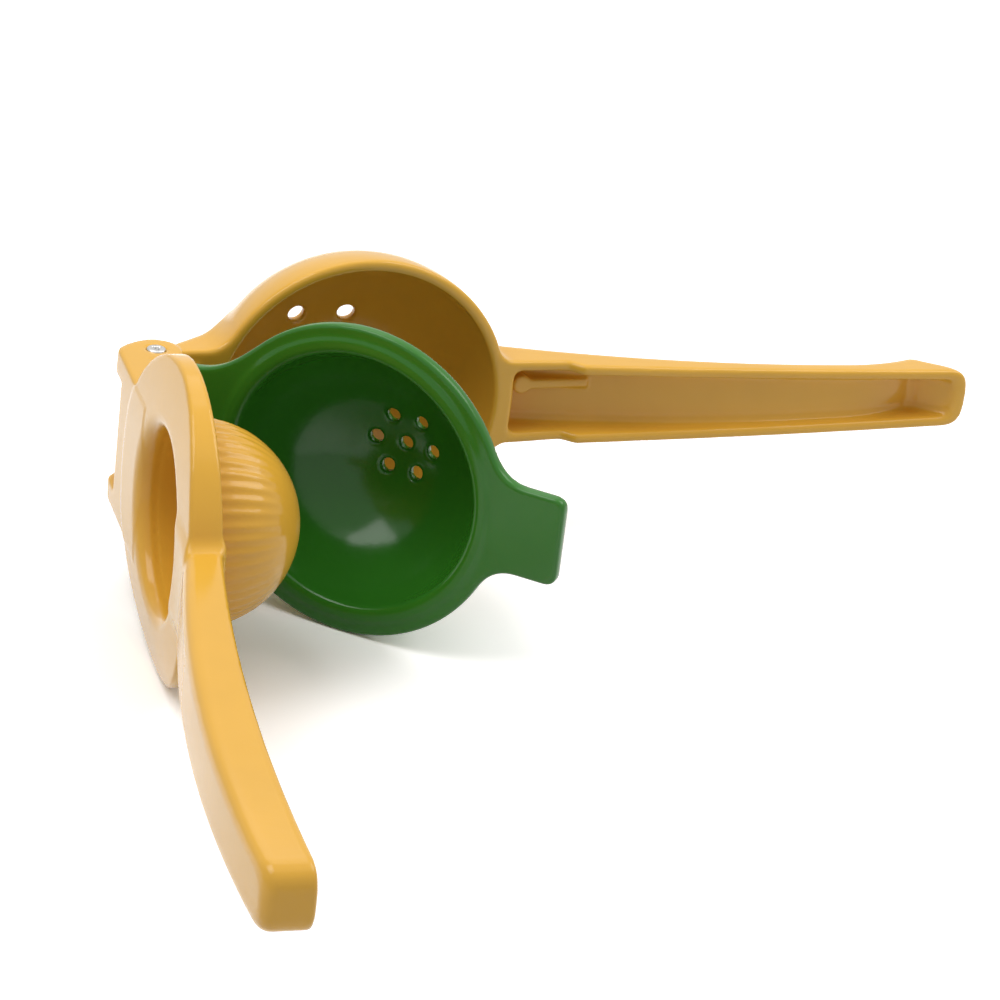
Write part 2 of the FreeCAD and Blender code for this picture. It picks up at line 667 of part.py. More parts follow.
rise_run = d["press_rise_end"] - d["press_rise_start"]
rise_from = d["spine"] - d["press_root_sink"]
rise = d["press_root_out"] - rise_from
rise_curve = (rise_run * rise_run + rise * rise) / (rise * 2)
out_run = d["press_tip"] - d["press_rise_end"]
out_drop = d["press_tip_out"] - d["press_root_out"]
out_curve = rise_curve * (out_run * out_run + out_drop * out_drop) / (
    (out_run * rise_run - out_drop * leg(rise_curve, rise_run)) * 2)
tip_in = d["press_tip_out"] - d["press_tip_thick"]
make_grip(
    press_lever, "press_grip",
    [
        (d["centre_reach"] + d["past"], -d["press_face"]),
        (d["centre_reach"] + d["past"], -rise_from),
        (d["press_rise_start"], -rise_from),
        (d["press_rise_end"], -d["press_root_out"], -rise_curve),
        (d["press_tip"], -d["press_tip_out"], out_curve),
        (d["press_tip"], -tip_in),
        (press_root - d["edge_round"] * 3, -d["press_face"], -d["press_in_curve"]),
    ],
    [
        (d["press_rise_start"], -rise_from),
        (d["press_rise_end"], -d["press_root_out"], -rise_curve),
        (d["press_tip"], -d["press_tip_out"], out_curve),
        (d["press_tip"], -d["press_tip_out"] + d["grip_floor"]),
        (d["press_rise_end"], -d["press_root_out"] + d["grip_floor"], -out_curve),
        (d["press_rise_start"], -rise_from + d["grip_floor"]),
    ],
    press_half, press_root, d["press_tip"],
    press_root + d["grip_wall"], d["press_tip"] - d["grip_wall"])


def press_middle(x):
    """How far before the pin axis the middle of the press lever's handle is at x."""
    root_middle = (d["press_face"] + d["press_root_out"]) / 2
    tip_middle = (d["press_tip_out"] + tip_in) / 2
    share = (x - press_root.value) / (d["press_tip"] - press_root).value
    return root_middle.value + (tip_middle - root_middle).value * share


round_edges(press_lever, "press_grip_back_edges", d["grip_back_round"], outside_edge(
    lambda x: press_half(as_size(x)).value, d["press_tip"].value,
    lambda x, y: x > d["press_rise_start"].value and -y > press_middle(x)))

# Press lever: plate, ears and crowned outer face
sketch = new_sketch(press_lever, "plate_round", "XZ_Plane", d["press_face"], d["centre_reach"])
draw_circle(sketch, 0, 0, d["plate_radius"])
pad(press_lever, sketch, "plate", d["spine"] - d["press_face"])
sketch = new_sketch(press_lever, "yoke_side", "XY_Plane")
draw_outline(sketch, [
    (d["centre_reach"] - d["dome_radius"], -d["press_face"]),
    (leg(d["knuckle_radius"], d["press_face"]), -d["press_face"]),
    (0, d["knuckle_radius"], d["knuckle_radius"]),
    (-d["knuckle_radius"] * d["ear_round_end"].cosine(),
     -d["knuckle_radius"] * d["ear_round_end"].sine(), d["knuckle_radius"]),
    (0, -d["spine"], d["ear_curve"]),
    (d["centre_reach"] - d["dome_radius"], -d["spine"]),
])
pad(press_lever, sketch, "yoke", d["ear_top"] * 2, symmetric=True)
sketch = new_sketch(press_lever, "yoke_gap_side", "XY_Plane")
ear_reach = d["spine"] + d["knuckle_radius"]
draw_outline(sketch, [
    (-ear_reach, -ear_reach), (d["web_start"], -ear_reach), (d["web_start"], ear_reach),
    (-ear_reach, ear_reach)])
pocket(press_lever, sketch, "yoke_gap", d["ear_gap"] * 2, symmetric=True)
crown_run = d["plate_radius"] + d["past"] - d["crown_flat"]
crown_edge = -d["spine"] + sag(d["crown_radius"], crown_run)
for number, side_of in enumerate((1, -1)):
    sketch = new_sketch(press_lever, "crown_side_%d" % (number + 1), "YZ_Plane")
    draw_outline(sketch, [
        (-d["spine"], d["crown_flat"] * side_of),
        (crown_edge, (d["crown_flat"] + crown_run) * side_of, d["crown_radius"] * (-side_of)),
        (-d["spine"] - d["past"], (d["crown_flat"] + crown_run) * side_of),
        (-d["spine"] - d["past"], d["crown_flat"] * side_of),
    ])
    pocket(press_lever, sketch, "crown_%d" % (number + 1))

# Press lever: the fluted dome and its hollow
dome_reach = d["centre_reach"] + d["dome_shift"]
sketch = new_sketch(press_lever, "dome_outside", "XY_Plane", shift=dome_reach)
draw_outline(sketch, [
    (0, -d["press_face"] - d["lap"]),
    (d["dome_radius"], -d["press_face"] - d["lap"]),
    (d["dome_radius"], -d["dome_sink"]),
    (0, d["dome_radius"] - d["dome_sink"], d["dome_radius"]),
])
turned(press_lever, sketch, "dome", "Revolution")

# Each flute is a round section turned about an axis beyond the dome's centre, so that it fades out upwards
flute_lift = d["flute_depth"] / d["flute_fade"].sine()
sketch = new_sketch(press_lever, "flute_section", "XZ_Plane", d["dome_sink"] - flute_lift, dome_reach)
draw_circle(sketch, d["dome_radius"] + d["flute_radius"] - d["flute_depth"], 0, d["flute_radius"])
flute = turned(press_lever, sketch, "flute", "Groove", (d["flute_fade"] + d["flute_over"], d["flute_foot"]))
ring_of(press_lever, flute, sketch, "flutes", d["flute_count"])

sketch = new_sketch(press_lever, "dome_inside", "XY_Plane", shift=dome_reach)
dome_inner = d["dome_radius"] - d["dome_wall"]
lip = d["dome_mouth_round"]
draw_outline(sketch, [
    (0, -d["spine"] - d["past"]),
    (dome_inner + lip, -d["spine"] - d["past"]),
    (dome_inner + lip, -d["spine"]),
    (dome_inner, -d["spine"] + lip, -lip),
    (dome_inner, -d["dome_sink"]),
    (0, dome_inner - d["dome_sink"], dome_inner),
])
turned(press_lever, sketch, "dome_hollow", "Groove")
sketch = new_sketch(press_lever, "press_bore_round", "XY_Plane")
draw_circle(sketch, 0, 0, d["pin_radius"])
pocket(press_lever, sketch, "press_bore")

# Pin
hinge_pin = new_body("hinge_pin")
pin_half = d["ear_top"] + d["pin_stand"]
sketch = new_sketch(hinge_pin, "pin_side", "XZ_Plane")
draw_outline(sketch, [
    (0, -pin_half),
    (d["pin_radius"] - d["pin_rolled_edge"], -pin_half),
    (d["pin_radius"], -(pin_half - d["pin_rolled_edge"]), d["pin_rolled_edge"]),
    (d["pin_radius"], pin_half - d["pin_rolled_edge"]),
    (d["pin_radius"] - d["pin_rolled_edge"], pin_half, d["pin_rolled_edge"]),
    (0, pin_half),
])
turned(hinge_pin, sketch, "pin", "Revolution")
for number, end_of in enumerate((1, -1)):
    sketch = new_sketch(hinge_pin, "recess_%d" % (number + 1), "XY_Plane", pin_half * end_of)
    draw_circle(sketch, d["recess_ring"], 0, d["recess_radius"])
    first = pocket(hinge_pin, sketch, "recess_lobe_%d" % (number + 1), d["recess_depth"],
                   reverse=(end_of < 0))
    ring_of(hinge_pin, first, sketch, "recess_lobes_%d" % (number + 1), as_size(3))

# Turn the levers open on the pin
bodies = (bowl_lever, lime_cup, press_lever, hinge_pin)
turns = (d["bowl_turn"], d["cup_turn"], d["press_turn"], d["press_turn"])
for body, turn in zip(bodies, turns):
    body.Placement = FreeCAD.Placement(Vector(0, 0, 0), FreeCAD.Rotation(Vector(0, 0, 1), -turn.value))
doc.recompute()

# The origin is under the middle of the open tool, on the surface that it lies on
extent = FreeCAD.BoundBox()
for body in bodies:
    extent.add(body.Shape.optimalBoundingBox())
origin = Vector(extent.Center.x, extent.Center.y, extent.ZMin)
for body in bodies:
    body.Placement = FreeCAD.Placement(-origin, body.Placement.Rotation)
doc.recompute()
print("pin axis stands at x %.3f, y %.3f, middle %.3f mm up" % tuple(-origin))

for body in bodies:
    shape = body.Shape
    if shape.isNull() or not shape.isValid() or len(shape.Solids) != 1:
        raise RuntimeError("not one sound solid: " + body.Label)
for thing in doc.Objects:
    if "Invalid" in thing.State or "Error" in thing.State:
        raise RuntimeError("failed object: " + thing.Name)
for body in bodies:
    body.Shape.exportStep("parts/%s.step" % body.Label)
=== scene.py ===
import json
import math

import bpy
import numpy as np
from bpy.props import FloatProperty, FloatVectorProperty, IntProperty, PointerProperty
from mathutils import Matrix, Vector

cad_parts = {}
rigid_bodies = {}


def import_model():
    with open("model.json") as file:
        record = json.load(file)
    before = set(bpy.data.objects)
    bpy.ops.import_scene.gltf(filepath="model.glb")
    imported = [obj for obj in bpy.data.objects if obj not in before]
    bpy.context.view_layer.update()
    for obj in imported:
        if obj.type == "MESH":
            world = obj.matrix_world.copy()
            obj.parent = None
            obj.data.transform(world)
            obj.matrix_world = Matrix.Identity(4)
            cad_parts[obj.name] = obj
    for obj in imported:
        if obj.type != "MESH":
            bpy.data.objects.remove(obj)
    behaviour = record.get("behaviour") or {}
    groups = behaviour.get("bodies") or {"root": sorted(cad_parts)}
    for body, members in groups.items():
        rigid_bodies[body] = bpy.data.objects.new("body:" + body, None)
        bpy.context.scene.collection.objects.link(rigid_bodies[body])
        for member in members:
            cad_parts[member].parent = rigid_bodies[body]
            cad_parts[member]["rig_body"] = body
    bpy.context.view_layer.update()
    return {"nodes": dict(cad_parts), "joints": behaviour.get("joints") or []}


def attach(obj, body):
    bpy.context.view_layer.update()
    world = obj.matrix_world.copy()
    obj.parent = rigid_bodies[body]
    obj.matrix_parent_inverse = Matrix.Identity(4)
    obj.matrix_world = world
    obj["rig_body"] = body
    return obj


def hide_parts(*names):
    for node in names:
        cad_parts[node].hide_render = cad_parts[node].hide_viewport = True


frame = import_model()

bl_info = {
    "name": "Hinged Citrus Squeezer",
    "version": (1, 0, 0),
    "blender": (4, 5, 0),
    "location": "3D View > Sidebar > Squeezer",
    "description": "Builds the castings, the rolled pin and the studio of a two-size citrus squeezer",
    "category": "Object",
}

MM = 0.001
BORE_RADIUS, BORE_EDGE, HOLE_EDGE = 2.5, 0.3, 0.9
JOINTS = {joint["name"]: joint for joint in frame["joints"]}
HINGE = np.array(JOINTS["cup_hinge"]["pos_m"])
CUP_TURN = -JOINTS["cup_hinge"]["range_deg"][0]
PRESS_TURN = CUP_TURN - JOINTS["press_hinge"]["range_deg"][0]

# The camera, in millimetres from the middle of the hinge pin, found from the photograph's outlines
CAMERA_FROM_PIN = (-226.5, -764.2, 349.1)
CAMERA_YAW = 0.3944
CAMERA_PITCH = -0.4237
CAMERA_ROLL = 0.1246
CAMERA_LENS_PER_FRAME = 3.652
SENSOR_MM = 36.0
SEEN_TO_METRES = 20.0

# The studio: the levels at which the world and the floor light the object, and at which the eye and
# the mirror reflections meet them
WORLD_LIT, WORLD_SHOWN = 0.45, 1.0
FLOOR_LIT, FLOOR_SHOWN = 0.6, 1.3
FLOOR_SIDE_METRES = 6.0

# What the lamps look at, in millimetres from the pin, and the lamps, each with its azimuth and
# elevation in degrees, distance and size in metres, and power in watts
AIM_FROM_PIN = (60, -60, 0)
LAMPS = (
    ("left", 180, 60, 1.0, (0.6, 0.6), 4.6),
    ("right", 0, 50, 1.0, (0.6, 0.6), 3.9),
    ("back", 90, 55, 1.0, (0.6, 0.6), 1.2),
    ("overhead", 0, 85, 1.0, (0.9, 0.9), 1.2),
)


class SqueezerSizes(bpy.types.PropertyGroup):
    """Sizes of the castings, in millimetres, in the frame of a lever with the tool shut."""

    reach: FloatProperty(name="Reach", description="Pin axis to the middle of bowl, cup and plate",
                         default=53.2)
    knuckle: FloatProperty(name="Knuckle radius", description="Round of every hinge knuckle",
                           default=6.3)
    swing_gap: FloatProperty(name="Swing gap", description="Gap round a knuckle inside another casting",
                             default=0.5)
    rim: FloatProperty(name="Bowl rim", description="The bowl's rim behind the pin axis", default=4.5)
    bowl_radius: FloatProperty(name="Bowl radius", description="Inside of the bowl", default=35.6)
    bowl_wall: FloatProperty(name="Bowl wall", description="Wall of the bowl", default=2.8)
    bowl_centre: FloatProperty(name="Bowl centre", description="Centre of the bowl's curve behind the pin",
                               default=4.9)
    bowl_hole: FloatProperty(name="Bowl holes", description="Radius of the bowl's drain holes",
                             default=2.1)
    bowl_ring: FloatProperty(name="Bowl hole ring", description="Ring of the outer drain holes",
                             default=13.1)
    bowl_tip: FloatProperty(name="Bowl lever tip", description="End of the bowl lever", default=216.0)
    cup_face: FloatProperty(name="Cup face", description="The cup's face behind the pin axis",
                            default=0.9)
    flange: FloatProperty(name="Flange", description="Thickness of the cup's flange and tab",
                          default=3.2)
    flange_radius: FloatProperty(name="Flange radius", description="Outer edge of the cup's flange",
                                 default=38.3)
    cup_mouth: FloatProperty(name="Cup mouth", description="Radius of the cup's mouth", default=31.2)
    cup_depth: FloatProperty(name="Cup depth", description="Depth of the cup below its face",
                             default=29.0)
    cup_wall: FloatProperty(name="Cup wall", description="Wall of the cup", default=2.6)
    cup_hole: FloatProperty(name="Cup holes", description="Radius of the cup's drain holes",
                            default=1.6)
    cup_ring: FloatProperty(name="Cup hole ring", description="Ring of the cup's outer drain holes",
                            default=7.6)
    plate: FloatProperty(name="Plate radius", description="Round plate of the press lever",
                         default=37.4)
    plate_face: FloatProperty(name="Plate face", description="The plate's inner face before the pin axis",
                              default=1.9)
    spine: FloatProperty(name="Plate spine", description="The plate's outer face before the pin axis",
                         default=9.4)
    dome: FloatProperty(name="Dome radius", description="Fluted dome that presses the fruit",
                        default=23.7)
    dome_wall: FloatProperty(name="Dome wall", description="Wall of the dome", default=2.8)
    dome_shift: FloatProperty(name="Dome shift", description="The dome's middle past the plate's",
                              default=0.9)
    dome_sink: FloatProperty(name="Dome sink", description="The dome's centre before the pin axis",
                             default=0.3)
    flutes: IntProperty(name="Flutes", description="Number of flutes round the dome", default=48)
    flute_depth: FloatProperty(name="Flute depth", description="Depth of the flutes at the plate",
                               default=0.5)
    press_tip: FloatProperty(name="Press lever tip", description="End of the press lever",
                             default=218.0)
    grain: FloatProperty(name="Grain", description="Spacing of the grid that the surfaces are taken from",
                         default=0.65)


class SqueezerColours(bpy.types.PropertyGroup):
    """Colours of the enamel, the pin and the studio."""

    yellow: FloatVectorProperty(name="Yellow enamel", description="Colour of the bowl and press levers",
                                subtype="COLOR", size=3, min=0, max=1, default=(0.74, 0.40, 0.045))
    green: FloatVectorProperty(name="Green enamel", description="Colour of the cup lever",
                               subtype="COLOR", size=3, min=0, max=1, default=(0.030, 0.180, 0.014))
    steel: FloatVectorProperty(name="Pin steel", description="Colour of the rolled pin",
                               subtype="COLOR", size=3, min=0, max=1, default=(0.62, 0.61, 0.59))
    paper: FloatVectorProperty(name="Floor", description="Colour of the studio floor",
                               subtype="COLOR", size=3, min=0, max=1, default=(1.0, 1.0, 1.0))


def sizes():
    """The sizes that the panel shows."""
    return bpy.context.scene.squeezer_sizes


def colours():
    """The colours that the panel shows."""
    return bpy.context.scene.squeezer_colours


# Forms as distances: each function gives, for arrays of points, how far they lie outside a form.
# Two forms joined by soft_or run into each other with a fillet; soft_and rounds the edge between two bounds.

def soft_or(a, b, fillet):
    """Union: the smaller distance, blended by a parabola where the two differ by less than the fillet."""
    share = np.clip(0.5 + 0.5 * (b - a) / fillet, 0, 1)
    return b + (a - b) * share - fillet * share * (1 - share)


def soft_and(a, b, fillet):
    """Intersection: the larger distance, with the corner between the two bounds rounded."""
    return -soft_or(-a, -b, fillet)


def cut(form, tool, fillet):
    """The form without the tool, with the edge between them rounded."""
    return soft_and(form, -tool, fillet)


def slab(value, half, middle=0.0):
    """Distance outside a slab of half thickness around a middle plane."""
    return np.abs(value - middle) - half


def true_distance(form, line, x):
    """Corrects y - line(x) for the line's slope, so that walls keep their thickness on a slant."""
    step = 0.25
    slope = (line(x + step) - line(x - step)) / (2 * step)
    return form / np.sqrt(1 + slope * slope)


def arc_over(x, low, radius, at):
    """A circular arc, as height over x: lowest, low, at x = at, and curving up with the radius."""
    furthest = 0.95
    run = np.clip(np.abs(x - at), 0, radius * furthest)
    return low + radius - np.sqrt(radius * radius - run * run)


def smooth_step(x, start, end):
    """0 before start, 1 after end, and a cubic ease between."""
    t = np.clip((x - start) / (end - start), 0, 1)
    return t * t * (3 - 2 * t)


def ring_places(ring):
    """The middle and the six places of a ring of drain holes, as offsets from the part's middle."""
    turns = np.arange(6) * math.pi / 3
    return [(0.0, 0.0)] + list(zip(ring * np.cos(turns), ring * np.sin(turns)))


def drill(form, x, z, reach, ring, radius):
    """Cuts the middle hole and the ring of six, each a cylinder along Y, with softened edges."""
    for across, along in ring_places(ring):
        form = cut(form, np.hypot(x - reach - across, z - along) - radius, HOLE_EDGE)
    return form


def taper(x, start, half_start, end, half_end):
    """Half width of a handle that tapers evenly from start to end."""
    return half_start + (half_end - half_start) * (x - start) / (end - start)


def bowl_back(x):
    """The bowl handle's back: a long arc to its thinnest place, the heel's arc, then a slant to the tip."""
    low, low_at, long_arc, heel_arc = 4.5, 184.0, 329.0, 47.6
    slant_at, slant_height, slant_fall, heel_fillet = 203.2, 8.54, 0.66, 2.2
    before = arc_over(x, low, long_arc, low_at)
    after = arc_over(x, low, heel_arc, low_at)
    slant = slant_height - (x - slant_at) * slant_fall
    return np.where(x < low_at, before, soft_or(after, slant, heel_fillet))


def bowl_edge(x):
    """The bowl handle's open edge: level to the tab's seat, a step, then a long easy curve to the tip."""
    step, step_from, step_to = 2.8, 106.9, 111.2
    curve_from, curve_run, fall, swell = 107.4, 108.6, 4.2, 0.9
    along = np.clip((x - curve_from) / curve_run, 0, None)
    arch = np.sin(np.clip(along, 0, 1) * math.pi)
    return sizes().rim - step * smooth_step(x, step_from, step_to) - fall * along - swell * arch


def bowl_grip(x, y, z, edge):
    """The bowl lever's handle: a tapered bar, a trough in it, and a boss and rib on the trough's floor."""
    s = sizes()
    root, root_half, tip_half, start = 90.2, 11.1, 7.6, 70
    tip_corner, back_round, edge_round = 5.6, 3.4, 1.1
    half = taper(x, root, root_half, s.bowl_tip, tip_half)
    back = true_distance(y - bowl_back(x), bowl_back, x)
    plan = soft_and(np.abs(z) - half, x - s.bowl_tip, tip_corner)
    grip = soft_and(soft_and(plan, back, back_round), edge, edge_round)
    grip = np.maximum(grip, start - x)

    side_wall, end_wall, floor_wall, trough_start = 2.6, 2.9, 3.0, 93.3
    far_corner, near_corner, floor_round, lip_round = 3.4, 3.0, 2.6, 1.2
    trough = soft_and(np.abs(z) - (half - side_wall), x - s.bowl_tip + end_wall, far_corner)
    trough = soft_and(trough, trough_start - x, near_corner)
    trough = soft_and(trough, back + floor_wall, floor_round)
    grip = cut(grip, trough, lip_round)

    boss_at, boss_radius, off_middle, boss_top = 97.0, 2.4, 3.2, 8.0
    rib_half, rib_reach, rib_middle, rib_fillet = 1.25, 8.75, 105.75, 0.8
    top_round, foot_depth, foot_fillet = 0.7, 1.5, 1.1
    rib = np.maximum(slab(z, rib_half, off_middle), slab(x, rib_reach, rib_middle))
    pad = soft_or(np.hypot(x - boss_at, z - off_middle) - boss_radius, rib, rib_fillet)
    pad = np.maximum(soft_and(pad, boss_top - y, top_round), back + foot_depth)
    return soft_or(grip, pad, foot_fillet)


def bowl_knuckles(x, y, z, pin_away):
    """The bowl lever's two knuckles and the necks that carry them, with the pin's bore."""
    s = sizes()
    half, middle, side_round, neck_fillet = 3.2, 10.1, 1.1, 1.2
    front_rise, front_lean, back_from, back_rise, neck_end = 1.07, 0.8, 5.9, 0.66, 12
    front = np.minimum(front_rise * x, s.rim) - y
    neck = np.maximum(front * front_lean, y - back_from - back_rise * x)
    neck = np.maximum(neck, np.maximum(-x, x - neck_end))
    knuckle = soft_or(pin_away - s.knuckle, neck, neck_fillet)
    knuckle = soft_and(knuckle, slab(np.abs(z), half, middle), side_round)
    return cut(knuckle, pin_away - BORE_RADIUS, BORE_EDGE)


def bowl_lever_form(x, y, z):
    """Bowl lever: a half-sphere shell, the channelled handle, the hinge arm and its two knuckles."""
    s = sizes()
    radial = np.hypot(x - s.reach, z)
    ball = np.hypot(radial, np.maximum(y - s.bowl_centre, 0))
    outside = ball - s.bowl_radius - s.bowl_wall
    inside = ball - s.bowl_radius
    edge = true_distance(bowl_edge(x) - y, bowl_edge, x)
    pin_away = np.hypot(x, y)

    arm_half, arm_end, arm_round, arm_edge = 16.4, 34, 3.0, 0.8
    arm_from, arm_rise, arm_lean = 6.6, 0.657, 0.836
    arm_line = arm_from + arm_rise * x
    arm = soft_and(slab(z, arm_half), (y - arm_line) * arm_lean, arm_round)
    arm = np.maximum(arm, np.maximum(-x, x - arm_end))
    arm = cut(arm, pin_away - s.knuckle - s.swing_gap, arm_edge)

    arm_fillet, grip_fillet, lip_round, knuckle_fillet = 4.5, 3.0, 1.3, 1.0
    form = soft_and(soft_or(outside, arm, arm_fillet), s.rim - y, lip_round)
    form = np.maximum(soft_or(form, bowl_grip(x, y, z, edge), grip_fillet), edge)
    form = cut(form, inside, lip_round)
    form = soft_or(form, bowl_knuckles(x, y, z, pin_away), knuckle_fillet)
    return drill(form, x, z, s.reach, s.bowl_ring, s.bowl_hole)


def lime_cup_form(x, y, z):
    """Cup lever: a flange with a tab and a hinge lug, a hanging cup, and one knuckle."""
    s = sizes()
    radial = np.hypot(x - s.reach, z)
    tab_half, tab_end, tab_corner, root_corner = 10.8, 106.8, 3.0, 1.0
    lug_half, lug_corner, tab_fillet, lug_fillet, flange_edge = 16.9, 0.8, 7.0, 11.0, 0.9
    tab = soft_and(soft_and(slab(z, tab_half), x - tab_end, tab_corner), s.reach - x, root_corner)
    lug = soft_and(slab(z, lug_half), s.knuckle + s.swing_gap - x, lug_corner)
    lug = soft_and(lug, x - s.reach, root_corner)
    plan = soft_or(soft_or(radial - s.flange_radius, tab, tab_fillet), lug, lug_fillet)
    sheet = slab(y, s.flange / 2, s.cup_face + s.flange / 2)
    flange = soft_and(plan, sheet, flange_edge)

    cup_overlap, cup_top_edge, cup_fillet, lip_round = 0.4, 0.5, 2.6, 2.2
    inner = (s.cup_mouth ** 2 + s.cup_depth ** 2) / (2 * s.cup_depth)
    centre = s.cup_face + s.cup_depth - inner
    ball = np.sqrt(radial * radial + (y - centre) ** 2)
    cup = soft_and(ball - inner - s.cup_wall, s.cup_face + cup_overlap - y, cup_top_edge)
    form = soft_or(flange, cup, cup_fillet)
    form = cut(form, ball - inner, lip_round)

    half, side_round, neck_end, neck_fillet, knuckle_fillet = 6.6, 1.1, 12, 1.2, 1.0
    pin_away = np.hypot(x, y)
    neck = np.maximum(sheet, np.maximum(-x, x - neck_end))
    knuckle = soft_or(pin_away - s.knuckle, neck, neck_fillet)
    knuckle = soft_and(knuckle, slab(z, half), side_round)
    form = soft_or(form, cut(knuckle, pin_away - BORE_RADIUS, BORE_EDGE), knuckle_fillet)
    return drill(form, x, z, s.reach, s.cup_ring, s.cup_hole)


def press_out(x):
    """The press handle's outer side: level under the plate, a rise, then one long arc to the tip."""
    level, rise_at, rise_radius, rise_run = 8.9, 68.0, 133.0, 60
    sweep_at, sweep_out, sweep_run, climb, sag = 97.0, 12.1, 121.0, 8.8, 4.45
    change_from, change_to = 94.0, 101.0
    rise = level + rise_radius - np.sqrt(rise_radius ** 2 - np.clip(x - rise_at, 0, rise_run) ** 2)
    t = np.clip((x - sweep_at) / sweep_run, 0, 1)
    sweep = sweep_out + climb * t + sag * 4 * t * (1 - t)
    change = smooth_step(x, change_from, change_to)
    return rise * (1 - change) + sweep * change


def press_in(x):
    """The press handle's inner side: the plate's inner face, then one long arc to the tip."""
    sweep_at, sweep_run, climb, sag = 88.2, 129.8, 8.4, 3.4
    t = np.clip((x - sweep_at) / sweep_run, 0, 1)
    return sizes().plate_face + climb * t + sag * 4 * t * (1 - t)


def press_ears(x, y, z, faces):
    """The press lever's two ears: rounds about the pin, the web behind them, the gap between."""
    s = sizes()
    pin_away = np.hypot(x, y)
    corner_at, corner_height, corner_radius, web_edge, web_end = 5.9, 1.05, 12.0, 0.8, 34
    shoulder, shoulder_height, shoulder_lean = 5.16, 3.61, 0.9
    corner = np.hypot(np.minimum(x - corner_at, 0), y - corner_height) - corner_radius
    web = np.maximum(soft_and(corner, faces, web_edge), x - web_end)
    web = np.maximum(web, -x - shoulder + np.minimum(y + shoulder_height, 0) * shoulder_lean)

    half, gap_half, gap_depth, web_fillet, ear_edge = 19.3, 13.6, 7.0, 0.6, 0.8
    pressed_radius, pressed_edge = 2.32, 0.2
    ears = soft_and(soft_or(pin_away - s.knuckle, web, web_fillet), slab(z, half), ear_edge)
    ears = cut(ears, soft_and(slab(z, gap_half), x - gap_depth, ear_edge), ear_edge)
    return cut(ears, pin_away - pressed_radius, pressed_edge)


def press_grip(x, y, z):
    """The press lever's handle: a tapered bar that bows outwards, with a trough in its inner side."""
    s = sizes()
    root, root_half, tip_half, start = 90.6, 10.2, 7.3, 62
    tip_corner, outer_round, inner_round = 5.6, 3.2, 1.2
    half = taper(x, root, root_half, s.press_tip, tip_half)
    outer = true_distance(-y - press_out(x), press_out, x)
    inner = true_distance(y + press_in(x), press_in, x)
    side = soft_and(np.abs(z) - half, x - s.press_tip, tip_corner)
    grip = soft_and(soft_and(side, outer, outer_round), inner, inner_round)
    grip = np.maximum(grip, start - x)

    side_wall, end_wall, floor_wall, trough_start = 2.6, 2.7, 3.0, 93.4
    far_corner, near_corner, floor_round, lip_round = 3.4, 3.0, 2.4, 1.2
    trough = soft_and(np.abs(z) - (half - side_wall), x - s.press_tip + end_wall, far_corner)
    trough = soft_and(soft_and(trough, trough_start - x, near_corner), outer + floor_wall, floor_round)
    return cut(grip, trough, lip_round)


def press_lever_form(x, y, z):
    """Press lever: ears and plate with a crowned back, the channelled handle and the fluted hollow dome."""
    s = sizes()
    level_half, crown_fall, plate_edge = 11.0, 220.0, 0.9
    radial = np.hypot(x - s.reach, z)
    crown = s.spine - np.maximum(np.abs(z) - level_half, 0) ** 2 / crown_fall
    faces = np.maximum(y + s.plate_face, -y - crown)
    plate = soft_and(radial - s.plate, faces, plate_edge)

    flutes_end, flute_shape, dome_foot = math.radians(46), 0.8, 4.0
    across = np.hypot(x - s.reach - s.dome_shift, z)
    up = np.maximum(y + s.dome_sink, 0)
    ball = np.hypot(across, up)
    turn = np.arctan2(z, x - s.reach - s.dome_shift)
    fade = np.clip(1 - np.arctan2(up, across) / flutes_end, 0, 1) ** flute_shape
    groove = (0.5 - 0.5 * np.cos(s.flutes * turn)) ** flute_shape
    dome = np.maximum(ball - s.dome + s.flute_depth * fade * groove, -y - dome_foot)
    hollow = ball - (s.dome - s.dome_wall)

    ear_fillet, grip_fillet, mouth_round, dome_fillet = 0.8, 3.0, 4.2, 0.8
    form = soft_or(plate, press_ears(x, y, z, faces), ear_fillet)
    form = cut(soft_or(form, press_grip(x, y, z), grip_fillet), hollow, mouth_round)
    return np.maximum(soft_or(form, dome, dome_fillet), -hollow)


def crossing_points(values, axis):
    """Where the surface crosses the grid's edges along one axis, and between which neighbours."""
    low = np.take(values, range(values.shape[axis] - 1), axis)
    high = np.take(values, range(1, values.shape[axis]), axis)
    crossed = (low < 0) != (high < 0)
    places = np.argwhere(crossed)
    share = low[crossed] / (low[crossed] - high[crossed])
    return places, share, low[crossed] < 0


